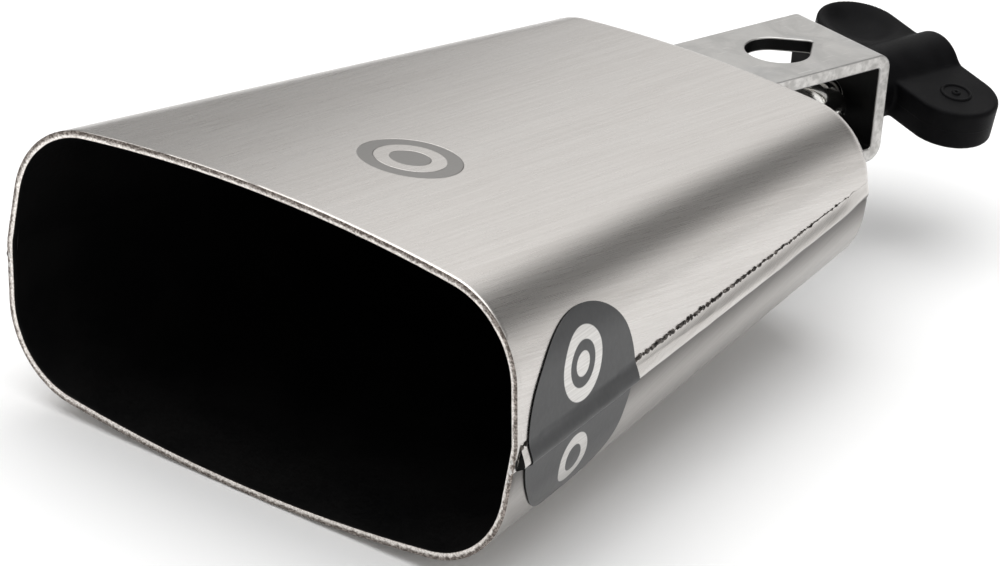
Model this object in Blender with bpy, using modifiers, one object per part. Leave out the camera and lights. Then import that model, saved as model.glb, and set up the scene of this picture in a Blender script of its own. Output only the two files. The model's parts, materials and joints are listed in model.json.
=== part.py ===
"""Cowbell with a rod clamp: two lap-welded half shells, a C bracket, an eye bolt and a wing nut.

World frame, in metres: the origin is the rod's axis where the clamp holds it, at the height of
the bolt's axis. +Z is up along the rod and +Y runs from the bell's mouth to its closed end.
Shapes are drawn in two local frames, each held by an empty:
  bell_axis   origin at the middle of the mouth, +Y to the closed end
  clamp_axis  origin at the rod's seat, +Y outwards through the bracket's web to the wing nut
"""

from math import asin, atan2, cos, hypot, pi, radians, sin, sqrt

import bmesh
import bpy

# Bell
LENGTH = 0.159
END_RADIUS = 0.005
SHEET = 0.0015
GAP = 0.0003
# half width at the seam, half height, crown's rise, side's lean, corner radius
MOUTH = (0.0677, 0.0345, 0.0062, 0.107, 0.0209)
CLOSED_END = (0.0479, 0.0207, 0.0029, 0.083, 0.0170)
BELL_DROP = 0.0005

# Lap seam along both narrow sides: its middle climbs from below the bell's middle to above it
LAP_STEP = SHEET + GAP
SEAM_AT_MOUTH = -0.0020
SEAM_AT_END = 0.0032
LAP_HALF_AT_MOUTH = 0.0028
LAP_HALF_AT_END = 0.0022
JOGGLE = 0.0020
TUCK_CLEARANCE = 0.0009
LIP_SETBACK = 0.0025
LAP_FADE = 0.006
WELD_RADIUS = 0.0006
WELD_START = 0.004
WELD_STOP = LENGTH - 0.014

# Bracket
BRACKET_YAW = radians(-12.6)
BRACKET_SHIFT = -0.0013
BRACKET_RAISE = 0.0015
BRACKET_REACH = 0.046
BRACKET_HALF_WIDTH = 0.0145
BRACKET_HALF_HEIGHT = 0.0133
PLATE = 0.0033
BEND_RADIUS = 0.0040
HOLE_RADIUS = 0.0075
HOLE_CENTRE = 0.0234
HOLE_TIP = 0.0346
HOLE_TIP_RADIUS = 0.0008
ROD_SEAT = 0.0275
BRACKET_WELD = (0.0024, 0.0020, 0.0026)

# Eye bolt, thread size M6 x 1
EYE_CENTRE = 0.0299
EYE_INNER = 0.0075
EYE_OUTER = 0.0125
EYE_THICKNESS = 0.005
EYE_EDGE = 0.001
SHANK_RADIUS = 0.003
SHANK_END = 0.072
SHANK_CHAMFER = 0.0008
WEB_HOLE_RADIUS = 0.0034

# Wing nut
HUB_RADIUS = 0.00845
HUB_LENGTH = 0.0307
HUB_EDGE = 0.0015
HUB_BORE = 0.0038
WING_HALF_SPAN = 0.0270
WING_HALF_WIDTH = 0.0107
WING_THICKNESS = 0.0094
WING_EDGE = 0.0010
WING_ROLL = radians(10)
INSERT_RADIUS = 0.0050
INSERT_BORE = 0.0033
INSERT_LENGTH = 0.012

# Side badge
BADGE_THICKNESS = 0.0003
BADGE_MIDDLE = (0.0263, -0.0010)
BADGE_RADIUS = 0.0220
BADGE_BRIDGE = 0.005

CIRCLE_STEPS = 48


def clear_scene():
    for obj in list(bpy.data.objects):
        bpy.data.objects.remove(obj, do_unlink=True)


def new_collection(name):
    collection = bpy.data.collections.new(name)
    bpy.context.scene.collection.children.link(collection)
    return collection


def new_material(name, colour, roughness, metallic):
    material = bpy.data.materials.new(name)
    material.use_nodes = True
    shader = material.node_tree.nodes["Principled BSDF"]
    shader.inputs["Base Color"].default_value = (*colour, 1.0)
    shader.inputs["Roughness"].default_value = roughness
    shader.inputs["Metallic"].default_value = metallic
    return material


def new_empty(name, location, yaw=0.0):
    empty = bpy.data.objects.new(name, None)
    empty.location = location
    empty.rotation_euler = (0, 0, yaw)
    PARTS.objects.link(empty)
    return empty


def place(obj, parent, location=(0, 0, 0), rotation=(0, 0, 0)):
    obj.parent = parent
    obj.location = location
    obj.rotation_euler = rotation
    return obj


def part(name, mesh, material, smooth_angle=radians(35)):
    """An object of the finished cowbell, with its material and smooth round faces."""
    mesh.materials.append(material)
    mesh.shade_smooth()
    mesh.set_sharp_from_angle(angle=smooth_angle)
    obj = bpy.data.objects.new(name, mesh)
    PARTS.objects.link(obj)
    return obj


def cutter(name, mesh):
    obj = bpy.data.objects.new(name, mesh)
    CUTTERS.objects.link(obj)
    obj.hide_render = True
    obj.display_type = "WIRE"
    return obj


def boolean(obj, other, operation):
    modifier = obj.modifiers.new(other.name, "BOOLEAN")
    modifier.object = other
    modifier.operation = operation
    modifier.solver = "EXACT"


def solidify(obj, thickness):
    modifier = obj.modifiers.new("Sheet", "SOLIDIFY")
    modifier.thickness = thickness
    modifier.offset = -1
    modifier.use_even_offset = True


def screw(obj, steps=CIRCLE_STEPS):
    modifier = obj.modifiers.new("Turn", "SCREW")
    modifier.steps = steps
    modifier.render_steps = steps
    modifier.use_merge_vertices = True
    modifier.merge_threshold = 0.00001


def grid_mesh(name, rows):
    """An open sheet through rows of points, which all have the same count."""
    mesh = bpy.data.meshes.new(name)
    count = len(rows[0])
    points = [point for row in rows for point in row]
    faces = []
    for r in range(len(rows) - 1):
        for c in range(count - 1):
            corner = r * count + c
            faces.append((corner, corner + count, corner + 1 + count, corner + 1))
    mesh.from_pydata(points, [], faces)
    return mesh


def profile_mesh(name, points, closed=True):
    """A profile in the XZ plane for a Screw: its outer side runs from top to bottom."""
    mesh = bpy.data.meshes.new(name)
    count = len(points)
    edges = [(i, (i + 1) % count) for i in range(count if closed else count - 1)]
    mesh.from_pydata([(x, 0, z) for x, z in points], edges, [])
    return mesh


def prism_mesh(name, outline, depth, edge=0.0):
    """A flat outline in XY given a thickness along Z, as a welded mesh with softened edges."""
    curve = bpy.data.curves.new(name, "CURVE")
    curve.dimensions = "2D"
    curve.fill_mode = "BOTH"
    curve.extrude = depth / 2 - edge
    curve.bevel_depth = edge
    curve.bevel_resolution = 2
    curve.offset = -edge
    spline = curve.splines.new("POLY")
    spline.points.add(len(outline) - 1)
    for point, (x, y) in zip(spline.points, outline):
        point.co = (x, y, 0, 1)
    spline.use_cyclic_u = True
    guide = bpy.data.objects.new(name, curve)
    CUTTERS.objects.link(guide)
    graph = bpy.context.evaluated_depsgraph_get()
    mesh = bpy.data.meshes.new_from_object(guide.evaluated_get(graph))
    bpy.data.objects.remove(guide, do_unlink=True)
    return welded(mesh)


def welded(mesh, within=0.000001):
    shape = bmesh.new()
    shape.from_mesh(mesh)
    bmesh.ops.remove_doubles(shape, verts=shape.verts, dist=within)
    bmesh.ops.recalc_face_normals(shape, faces=shape.faces)
    shape.to_mesh(mesh)
    shape.free()
    return mesh


def box_mesh(name, low, high):
    mesh = bpy.data.meshes.new(name)
    shape = bmesh.new()
    bmesh.ops.create_cube(shape, size=1)
    for vert in shape.verts:
        for axis in range(3):
            middle = (low[axis] + high[axis]) / 2
            vert.co[axis] = middle + vert.co[axis] * (high[axis] - low[axis])
    shape.to_mesh(mesh)
    shape.free()
    return mesh


def arc(centre, radius, start, stop, steps):
    """Points along an arc, both ends included."""
    angles = [start + (stop - start) * i / steps for i in range(steps + 1)]
    return [(centre[0] + radius * cos(a), centre[1] + radius * sin(a)) for a in angles]


def mix(a, b, share):
    return a + (b - a) * share


def smooth_step(value):
    value = min(max(value, 0.0), 1.0)
    return value * value * (3 - 2 * value)


# The bell's surface -------------------------------------------------------------------------


def section_at(y):
    """The cross-section's five sizes at y, which shrink evenly from mouth to closed end."""
    share = min(y / (LENGTH - END_RADIUS), 1.0)
    return [mix(a, b, share) for a, b in zip(MOUTH, CLOSED_END)]


def inset(section, distance):
    width, height, crown, lean, radius = section
    return (width - distance, height - distance, crown, lean, radius - distance)


def corner_of(section):
    """The corner arc's centre and its first and last angles, and the crown arc's radius and centre."""
    width, height, crown, lean, radius = section
    crown_radius = (width * width + crown * crown) / (2 * crown)
    crown_z = height - crown_radius
    reach = width - radius * sqrt(1 + lean * lean)
    a = 1 + lean * lean
    b = -2 * lean * reach - 2 * crown_z
    c = reach * reach + crown_z * crown_z - (crown_radius - radius) ** 2
    z = (-b + sqrt(b * b - 4 * a * c)) / (2 * a)
    x = reach - lean * z
    return (x, z), atan2(lean, 1), atan2(z - crown_z, x), crown_radius, crown_z


def side_point(section, along, rise=0.0):
    """A point `along` the outline from the narrow side's middle, raised from the surface."""
    width, lean, radius = section[0], section[3], section[4]
    centre, start = corner_of(section)[:2]
    flat = hypot(lean, 1) * (centre[1] + radius * sin(start))
    run = abs(along)
    if run <= flat:
        turn = start
        z = run / hypot(lean, 1)
        x = width - lean * z
    else:
        turn = start + (run - flat) / radius
        x = centre[0] + radius * cos(turn)
        z = centre[1] + radius * sin(turn)
    side = 1 if along >= 0 else -1
    return x + rise * cos(turn), side * (z + rise * sin(turn))


def quarter(section, first, side_steps=12, crown_steps=6):
    """Points from `first` on the narrow side, over the corner, to the middle of the broad face."""
    lean, radius = section[3:]
    centre, start, stop, crown_radius, crown_z = corner_of(section)
    flat = hypot(lean, 1) * (centre[1] + radius * sin(start))
    last = flat + radius * (stop - start)
    side = [side_point(section, mix(first, last, i / side_steps)) for i in range(side_steps)]
    return side + arc((0, crown_z), crown_radius, stop, pi / 2, crown_steps)


def both_sides(points):
    return points + [(-x, z) for x, z in reversed(points[:-1])]


def lip(y):
    """The lip's edge, along the outline from the narrow side's middle."""
    half = mix(LAP_HALF_AT_MOUTH, LAP_HALF_AT_END, y / LENGTH)
    return mix(SEAM_AT_MOUTH, SEAM_AT_END, y / LENGTH) + half


def crease(y):
    """The line where the lower shell starts to step out."""
    half = mix(LAP_HALF_AT_MOUTH, LAP_HALF_AT_END, y / LENGTH)
    return mix(SEAM_AT_MOUTH, SEAM_AT_END, y / LENGTH) - half


def upper_outline(y, section):
    """The upper shell hangs behind the lower one's lip, and at the closed end meets it edge to edge."""
    if y <= LIP_SETBACK - GAP:
        first = crease(0)
    else:
        share = smooth_step((y - LENGTH + END_RADIUS + 2 * LAP_FADE) / LAP_FADE)
        first = mix(crease(y) + JOGGLE + TUCK_CLEARANCE, lip(y) + GAP, share)
    return both_sides(quarter(section, first))


def lower_outline(y, section, lap):
    """The lower shell, drawn with z down: its edge steps out into a lip over the upper shell."""
    edge = side_point(section, -lip(y), LAP_STEP * lap)
    step = side_point(section, -crease(y) - JOGGLE, LAP_STEP * lap)
    return both_sides([edge, step] + quarter(section, -crease(y)))


def shell_rows(outline, lap_fades):
    """Rows of (x, y, z) from the mouth, round the closed end's edge and over the end wall."""
    wall = LENGTH - END_RADIUS
    fade = wall - 2 * LAP_FADE
    stations = [0, LIP_SETBACK - GAP, LIP_SETBACK + GAP / 2, 0.02, 0.05, 0.08, 0.11]
    stations += [fade, fade + LAP_FADE / 2, fade + LAP_FADE, wall]
    rows = []
    for y in stations:
        rows.append([(x, y, z) for x, z in outline(y, section_at(y), 1.0)])
    steps = 5
    for i in range(1, steps + 1):
        turn = pi / 2 * i / steps
        section = inset(section_at(wall), END_RADIUS * (1 - cos(turn)))
        y = wall + END_RADIUS * sin(turn)
        lap = cos(turn) ** 2 if lap_fades else 1.0
        rows.append([(x, y, z) for x, z in outline(y, section, lap)])
    return rows + end_wall_rows(rows[-1])


def end_wall_rows(rim, steps=3, spread=0.6):
    """Rows across the flat end wall, from its rounded edge to the straight joint between the shells."""
    joint = rim[0][2]
    reach = rim[0][0] * spread
    last = len(rim) - 1
    rows = []
    for i in range(1, steps + 1):
        share = i / steps
        row = []
        for c, (x, y, z) in enumerate(rim):
            row.append((mix(x, mix(reach, -reach, c / last), share), y, mix(z, joint, share)))
        rows.append(row)
    return rows


def upper_shell():
    rows = shell_rows(lambda y, section, lap: upper_outline(y, section), False)
    obj = part("upper_shell", grid_mesh("upper_shell", rows), BRUSHED)
    solidify(obj, SHEET)
    return place(obj, BELL_AXIS)


def lower_shell():
    rows = shell_rows(lower_outline, True)
    turned = [[(-x, y, -z) for x, y, z in row] for row in rows]
    obj = part("lower_shell", grid_mesh("lower_shell", turned), BRUSHED)
    solidify(obj, SHEET)
    for side in (-1, 1):
        edges = sorted((side * (MOUTH[0] - 0.004), side * (MOUTH[0] + 0.004)))
        low = (edges[0], -0.001, crease(0) - GAP)
        high = (edges[1], LIP_SETBACK, lip(0) + 0.002)
        name = "lip_trim_right" if side > 0 else "lip_trim_left"
        trim = place(cutter(name, box_mesh(name, low, high)), BELL_AXIS)
        boolean(obj, trim, "DIFFERENCE")
    return place(obj, BELL_AXIS)


def seam_weld(name, side, points=12):
    """A bead in the corner between the lip's edge and the upper shell."""
    curve = bpy.data.curves.new(name, "CURVE")
    curve.dimensions = "3D"
    curve.bevel_depth = WELD_RADIUS
    curve.bevel_resolution = 2
    curve.use_fill_caps = True
    curve.materials.append(WELD)
    spline = curve.splines.new("POLY")
    spline.points.add(points - 1)
    for i, point in enumerate(spline.points):
        y = mix(WELD_START, WELD_STOP, i / (points - 1))
        x, z = side_point(section_at(y), lip(y) + GAP + WELD_RADIUS, GAP + WELD_RADIUS)
        point.co = (side * x, y, z, 1)
    obj = bpy.data.objects.new(name, curve)
    PARTS.objects.link(obj)
    return place(obj, BELL_AXIS)


# Side badge ---------------------------------------------------------------------------------


def lap_rise(y, along):
    """How far the badge stands over the bell's surface: it bridges the lip, and its weld above."""
    above = 1 - smooth_step((along - lip(y)) / BADGE_BRIDGE)
    below = smooth_step((along - crease(y) + JOGGLE / 2) / JOGGLE)
    return GAP + (LAP_STEP + GAP) * min(above, below)


def badge_point(y, along):
    x, z = side_point(section_at(y), along, lap_rise(y, along))
    return x, y, z


def side_badge(rows=66, columns=12, last=radians(87)):
    """A round film wrapped over the near side: its rows run along the bell, within the circle."""
    points = []
    for r in range(rows + 1):
        turn = mix(-last, last, r / rows)
        along = BADGE_MIDDLE[1] + BADGE_RADIUS * sin(turn)
        half = BADGE_RADIUS * cos(turn)
        across = [BADGE_MIDDLE[0] + mix(-half, half, c / columns) for c in range(columns + 1)]
        points.append([badge_point(y, along) for y in across])
    obj = part("side_badge", grid_mesh("side_badge", points), BADGE)
    solidify(obj, BADGE_THICKNESS)
    return place(obj, BELL_AXIS)


# Bracket ------------------------------------------------------------------------------------


def from_wall(distance):
    """A distance from the bell's closed end, along the clamp's frame."""
    return distance - ROD_SEAT


def mount_bracket():
    root = from_wall(-0.006)
    reach = from_wall(BRACKET_REACH)
    top = BRACKET_HALF_HEIGHT
    bend = (reach - BEND_RADIUS, top - BEND_RADIUS)
    upper = [(root, top)] + arc(bend, BEND_RADIUS, pi / 2, 0, 6)
    profile = upper + [(y, -z) for y, z in reversed(upper)]
    sides = (-BRACKET_HALF_WIDTH, BRACKET_HALF_WIDTH)
    rows = [[(x, y, z + BRACKET_RAISE) for y, z in profile] for x in sides]
    mesh = grid_mesh("mount_bracket", rows)
    obj = part("mount_bracket", mesh, BRACKET)
    solidify(obj, PLATE)
    for tool in (end_wall_cutter(), rod_hole_cutter(), web_hole_cutter()):
        boolean(obj, tool, "DIFFERENCE")
    return place(obj, CLAMP_AXIS)


def end_wall_cutter():
    """Trims the flanges' roots parallel to the bell's end wall."""
    low = (-0.04, LENGTH - 0.03, -0.03)
    high = (0.04, LENGTH + GAP, 0.03)
    return place(cutter("end_wall_trim", box_mesh("end_wall_trim", low, high)), BELL_AXIS)


def rod_hole_outline():
    """Round towards the bell and a V towards the web, where the rod seats."""
    centre = from_wall(HOLE_CENTRE)
    tip = from_wall(HOLE_TIP)
    half_angle = asin(HOLE_RADIUS / (tip - centre))
    tip_centre = tip - HOLE_TIP_RADIUS / sin(half_angle)
    round_end = arc((0, centre), HOLE_RADIUS, pi - half_angle, 2 * pi + half_angle, 18)
    point = arc((0, tip_centre), HOLE_TIP_RADIUS, half_angle, pi - half_angle, 4)
    return round_end + point


def rod_hole_cutter():
    mesh = prism_mesh("rod_hole", rod_hole_outline(), 0.04)
    return place(cutter("rod_hole", mesh), CLAMP_AXIS, (0, 0, BRACKET_RAISE))


def cylinder_mesh(name, radius, length, steps=32):
    mesh = bpy.data.meshes.new(name)
    shape = bmesh.new()
    bmesh.ops.create_cone(
        shape, cap_ends=True, segments=steps, radius1=radius, radius2=radius, depth=length
    )
    shape.to_mesh(mesh)
    shape.free()
    return mesh


def web_hole_cutter():
    mesh = cylinder_mesh("web_hole", WEB_HOLE_RADIUS, 0.012)
    middle = (0, from_wall(BRACKET_REACH - PLATE / 2), 0)
    return place(cutter("web_hole", mesh), CLAMP_AXIS, middle, (pi / 2, 0, 0))


def bracket_welds():
    """A lump in the corner between the end wall and each side of each flange."""
    across, out, tall = BRACKET_WELD
    plate_middle = BRACKET_HALF_HEIGHT - PLATE / 2
    for level, height in (("top", plate_middle), ("bottom", -plate_middle)):
        for side, name in ((1, "near"), (-1, "far")):
            mesh = bpy.data.meshes.new(f"bracket_weld_{level}_{name}")
            shape = bmesh.new()
            bmesh.ops.create_uvsphere(shape, u_segments=16, v_segments=10, radius=1)
            for vert in shape.verts:
                vert.co.x *= across
                vert.co.y *= out
                vert.co.z *= tall
            shape.to_mesh(mesh)
            shape.free()
            obj = part(mesh.name, mesh, WELD)
            edge = BRACKET_HALF_WIDTH / cos(BRACKET_YAW) + across + 2 * GAP
            shift = BRACKET_SHIFT + side * edge
            z = height + BRACKET_RAISE + BELL_DROP
            place(obj, BELL_AXIS, (shift, LENGTH + GAP + out, z))


# Clamp --------------------------------------------------------------------------------------


def rounded_ring(inner, outer, low, high, edge, steps=3):
    """A closed ring profile whose corners are rounded."""
    points = arc((outer - edge, high - edge), edge, pi / 2, 0, steps)
    points += arc((outer - edge, low + edge), edge, 0, -pi / 2, steps)
    points += arc((inner + edge, low + edge), edge, -pi / 2, -pi, steps)
    points += arc((inner + edge, high - edge), edge, pi, pi / 2, steps)
    return points


def eye_bolt():
    """Its eye lies flat round the rod, and its shank points out through the web."""
    half = EYE_THICKNESS / 2
    profile = rounded_ring(EYE_INNER, EYE_OUTER, -half, half, EYE_EDGE)
    obj = part("eye_bolt", profile_mesh("eye_bolt", profile), PLATED)
    screw(obj)
    start = from_wall(EYE_CENTRE + (EYE_INNER + EYE_OUTER) / 2)
    stop = from_wall(SHANK_END)
    mesh = cylinder_mesh("shank", SHANK_RADIUS, stop - start, 32)
    shape = bmesh.new()
    shape.from_mesh(mesh)
    rim = [edge for edge in shape.edges if all(vert.co.z > 0 for vert in edge.verts)]
    bmesh.ops.bevel(shape, geom=rim, offset=SHANK_CHAMFER, segments=1, affect="EDGES")
    shape.to_mesh(mesh)
    shape.free()
    middle = (0, (start + stop) / 2, 0)
    shank = place(cutter("shank", mesh), CLAMP_AXIS, middle, (-pi / 2, 0, 0))
    boolean(obj, shank, "UNION")
    return place(obj, CLAMP_AXIS, (0, from_wall(EYE_CENTRE), 0))


def wing_nut():
    """Its own Z runs out along the bolt, from the bracket's web."""
    shoulder = HUB_RADIUS - HUB_EDGE
    profile = [(0, HUB_LENGTH)] + arc((shoulder, HUB_LENGTH - HUB_EDGE), HUB_EDGE, pi / 2, 0, 4)
    profile += arc((shoulder, HUB_EDGE), HUB_EDGE, 0, -pi / 2, 4) + [(0, 0)]
    obj = part("wing_nut", profile_mesh("wing_nut", profile, closed=False), MOULDED)
    screw(obj)
    straight = WING_HALF_SPAN - WING_HALF_WIDTH
    outline = arc((straight, 0), WING_HALF_WIDTH, -pi / 2, pi / 2, 16)
    outline += arc((-straight, 0), WING_HALF_WIDTH, pi / 2, 3 * pi / 2, 16)
    wings = prism_mesh("wings", outline, WING_THICKNESS, WING_EDGE)
    middle = HUB_LENGTH - WING_HALF_WIDTH - GAP
    blades = place(cutter("wings", wings), obj, (0, 0, middle), (pi / 2, 0, 0))
    boolean(obj, blades, "UNION")
    boolean(obj, place(nut_bore(), obj), "DIFFERENCE")
    web = from_wall(BRACKET_REACH) + GAP
    return place(obj, CLAMP_AXIS, (0, web, 0), (-pi / 2, WING_ROLL, 0))


def nut_bore():
    """A pocket for the insert, then a narrower bore out through the hub's end."""
    pocket = INSERT_RADIUS + GAP
    floor = INSERT_LENGTH + 2 * GAP
    top = HUB_LENGTH + HUB_EDGE
    profile = [(0, top), (HUB_BORE, top), (HUB_BORE, floor)]
    profile += [(pocket, floor), (pocket, -HUB_EDGE), (0, -HUB_EDGE)]
    tool = cutter("nut_bore", profile_mesh("nut_bore", profile, closed=False))
    screw(tool)
    return tool


def wing_nut_insert(nut):
    profile = rounded_ring(INSERT_BORE, INSERT_RADIUS, GAP, GAP + INSERT_LENGTH, GAP)
    obj = part("wing_nut_insert", profile_mesh("wing_nut_insert", profile), BRASS)
    screw(obj)
    obj.parent = nut
    return obj


clear_scene()
PARTS = new_collection("cowbell")
CUTTERS = new_collection("cutters")

BRUSHED = new_material("brushed_steel", (0.60, 0.58, 0.55), 0.32, 1.0)
BRACKET = new_material("bracket_steel", (0.62, 0.61, 0.58), 0.40, 1.0)
WELD = new_material("weld_steel", (0.20, 0.18, 0.16), 0.60, 1.0)
PLATED = new_material("plated_steel", (0.80, 0.80, 0.78), 0.18, 1.0)
MOULDED = new_material("black_plastic", (0.012, 0.012, 0.014), 0.45, 0.0)
BRASS = new_material("brass_insert", (0.70, 0.52, 0.25), 0.35, 1.0)
BADGE = new_material("badge_film", (0.10, 0.10, 0.11), 0.25, 0.0)

SEAT_TO_WALL = (-BRACKET_SHIFT + ROD_SEAT * sin(BRACKET_YAW), -ROD_SEAT * cos(BRACKET_YAW))
MOUTH_MIDDLE = (SEAT_TO_WALL[0], SEAT_TO_WALL[1] - LENGTH, -BELL_DROP)
BELL_AXIS = new_empty("bell_axis", MOUTH_MIDDLE)
CLAMP_AXIS = new_empty("clamp_axis", (0, 0, 0), BRACKET_YAW)

upper_shell()
lower_shell()
seam_weld("seam_weld_near", 1)
seam_weld("seam_weld_far", -1)
side_badge()
mount_bracket()
bracket_welds()
eye_bolt()
wing_nut_insert(wing_nut())
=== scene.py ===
"""Looks for a cowbell with a rod clamp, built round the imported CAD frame.

All sizes are in metres. Two local frames are used, both worked out from the CAD frame:
  bell frame   origin at the middle of the mouth, +Y to the closed end, +Z up
  clamp frame  origin at the rod's seat, +Y out along the bolt, +Z up along the rod
"""

import json
from math import asin, atan2, cos, hypot, pi, radians, sin, sqrt

import bmesh
import bpy
import numpy as np
from mathutils import Matrix, Vector, noise


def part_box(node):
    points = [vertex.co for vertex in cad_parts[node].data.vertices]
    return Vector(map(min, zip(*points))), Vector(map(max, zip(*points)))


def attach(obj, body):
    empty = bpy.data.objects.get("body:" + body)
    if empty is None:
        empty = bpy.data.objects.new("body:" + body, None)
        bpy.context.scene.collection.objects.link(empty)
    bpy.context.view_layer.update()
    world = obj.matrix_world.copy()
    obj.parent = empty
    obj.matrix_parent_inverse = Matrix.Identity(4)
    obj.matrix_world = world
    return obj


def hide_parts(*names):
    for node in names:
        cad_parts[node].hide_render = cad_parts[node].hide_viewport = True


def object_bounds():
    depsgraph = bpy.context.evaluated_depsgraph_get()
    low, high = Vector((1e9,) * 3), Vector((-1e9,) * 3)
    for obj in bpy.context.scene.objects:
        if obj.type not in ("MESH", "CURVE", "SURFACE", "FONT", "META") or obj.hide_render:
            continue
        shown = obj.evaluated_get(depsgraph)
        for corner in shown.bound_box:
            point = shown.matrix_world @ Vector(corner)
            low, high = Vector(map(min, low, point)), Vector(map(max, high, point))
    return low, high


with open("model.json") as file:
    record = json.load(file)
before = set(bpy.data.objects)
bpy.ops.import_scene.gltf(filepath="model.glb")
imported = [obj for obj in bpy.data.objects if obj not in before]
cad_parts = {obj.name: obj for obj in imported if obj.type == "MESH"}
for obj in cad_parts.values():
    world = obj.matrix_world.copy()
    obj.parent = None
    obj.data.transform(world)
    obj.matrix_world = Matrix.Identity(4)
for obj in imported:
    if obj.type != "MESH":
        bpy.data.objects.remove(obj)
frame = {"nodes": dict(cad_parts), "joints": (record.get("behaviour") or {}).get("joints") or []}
cad_low, cad_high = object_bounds()

# Places taken from the CAD frame ---------------------------

shell_low = Vector(map(min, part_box("upper_shell")[0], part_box("lower_shell")[0]))
shell_high = Vector(map(max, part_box("upper_shell")[1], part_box("lower_shell")[1]))
MOUTH_MIDDLE = Vector(
    ((shell_low.x + shell_high.x) / 2, shell_low.y, (shell_low.z + shell_high.z) / 2)
)
LENGTH = shell_high.y - shell_low.y
HINGE = next(joint for joint in frame["joints"] if joint["type"] == "hinge")
BOLT_AXIS = Vector(HINGE["axis"])
CLAMP_YAW = atan2(-BOLT_AXIS.x, BOLT_AXIS.y)
WEB_FACE = Vector(HINGE["pos_m"]).dot(BOLT_AXIS)
BELL_FRAME = Matrix.Translation(MOUTH_MIDDLE)
CLAMP_FRAME = Matrix.Rotation(CLAMP_YAW, 4, "Z")

# Bell: half width at the seam, half height, crown's rise, side's lean, corner radius
MOUTH = (0.0677, 0.0345, 0.0062, 0.107, 0.0209)
CLOSED_END = (0.0479, 0.0207, 0.0029, 0.083, 0.0170)
END_RADIUS = 0.005
WALL = LENGTH - END_RADIUS
SHEET = 0.0015
RIM_EDGE, RIM_DEPTH = 0.00035, 0.00012

# Lap seam
SEAM_AT_MOUTH, SEAM_AT_END = -0.0020, 0.0032
LAP_BELOW_AT_MOUTH, LAP_BELOW_AT_END = 0.0028, 0.0022
LAP_ABOVE_AT_MOUTH, LAP_ABOVE_AT_END = 0.0021, 0.0014
LIP_SETBACK = 0.0017
RIDGE_AT_MOUTH, RIDGE_AT_END = 0.00175, 0.00130
CREST, SLOPE_FOOT = 0.24, 0.97
RIDGE_FADE = LENGTH - 0.016
LIP_STEP, LIP_TRACE, LIP_FADE = 0.00012, 0.00002, LENGTH - 0.024
TUCK, RIM_LAP, CREASE_GAP = 0.0004, 0.0006, 0.0003

# Seam welds: the bead, and three tacks on the rim as (place along the outline, length)
WELD_START, WELD_STOP, BEAD_STEP = 0.0010, LENGTH - 0.0095, 0.00028
BEAD_WIDTH, BEAD_LEAST, BEAD_RISE, BEAD_SINK, BEAD_ROOT = 0.00094, 0.00002, 0.00034, 0.00008, 0.0005
RIM_TACKS = ((-0.0052, 0.0011), (-0.0030, 0.0009), (-0.0074, 0.0007))
TACK_PLACE, TACK_WIDTH, TACK_DEPTH = 0.00055, 0.00060, 0.00048

# Badge
BADGE_MIDDLE = (0.0263, -0.0010)
BADGE_RADIUS = 0.0220
BADGE_FILM, BADGE_LIFT = 0.00012, 0.00022
BRIDGE_REACH, BRIDGE_SLOPE = 0.0011, 1.05

# Bracket
HALF_WIDTH, HALF_HEIGHT, RAISE = 0.0145, 0.0133, 0.0015
PLATE, BEND_RADIUS = 0.0033, 0.0040
WALL_TO_SEAT, ROOT_OVERLAP, WALL_GAP = 0.0275, 0.006, 0.0001
HOLE_RADIUS, HOLE_CENTRE, HOLE_TIP, TIP_RADIUS = 0.0075, -0.0041, 0.0071, 0.0008
WEB_HOLE_RADIUS = 0.0034
SHEARED_EDGE = 0.00035
CUTTER_REACH, TRIM_DEPTH = 0.05, 0.04
LUMP_INWARD, LUMP_BACK = 0.0009, 0.0006

# Eye bolt
EYE_CENTRE, EYE_INNER, EYE_OUTER, EYE_THICKNESS, EYE_EDGE = 0.0024, 0.0075, 0.0125, 0.005, 0.0014
SHANK_RADIUS, SHANK_END, PITCH, THREAD_DEPTH = 0.003, 0.0445, 0.001, 0.00055
NECK_GAP, THREAD_RUN_IN, TIP_CHAMFER = 0.0004, 0.0015, 0.0008

# Wing nut
HUB_RADIUS, HUB_LENGTH, HUB_EDGE, HUB_BORE = 0.00845, 0.0307, 0.0013, 0.0038
WING_HALF_SPAN, WING_HALF_WIDTH, WING_THICKNESS, WING_EDGE = 0.0270, 0.0107, 0.0094, 0.0009
WING_ROLL, SEAT_GAP = radians(10), 0.0003
LOBE_PLACE, LOBE_HEIGHT = WING_HALF_SPAN - WING_HALF_WIDTH, HUB_LENGTH - WING_HALF_WIDTH - SEAT_GAP
WING_BLEND, DISH_BLEND = 0.0011, 0.0010
DISH_RADIUS, DISH_DEPTH, DISH_SHIFT = 0.0088, 0.0026, 0.0010
POCKET_RADIUS, POCKET_DEPTH = 0.0053, 0.0126
MARK_RADII = {"wing_mark_ring": 0.0034, "wing_mark_dot": 0.0007}
MARK_SHIFT, MARK_HEIGHT, MARK_HALF_WIDTH = 0.0006, 0.0004, 0.00045

# Camera: its direction and roll, the mouth's middle in its own axes, and a small shift
VIEW_AZIMUTH, VIEW_ELEVATION, VIEW_ROLL = radians(35.054), radians(24.687), radians(5.023)
VIEW_OFFSET = (-0.050451, -0.012305, -1.062851)
FOCAL_LENGTH, SENSOR = 187.44, 36.0
SHIFT = (0.00008, -0.00033)

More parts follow.
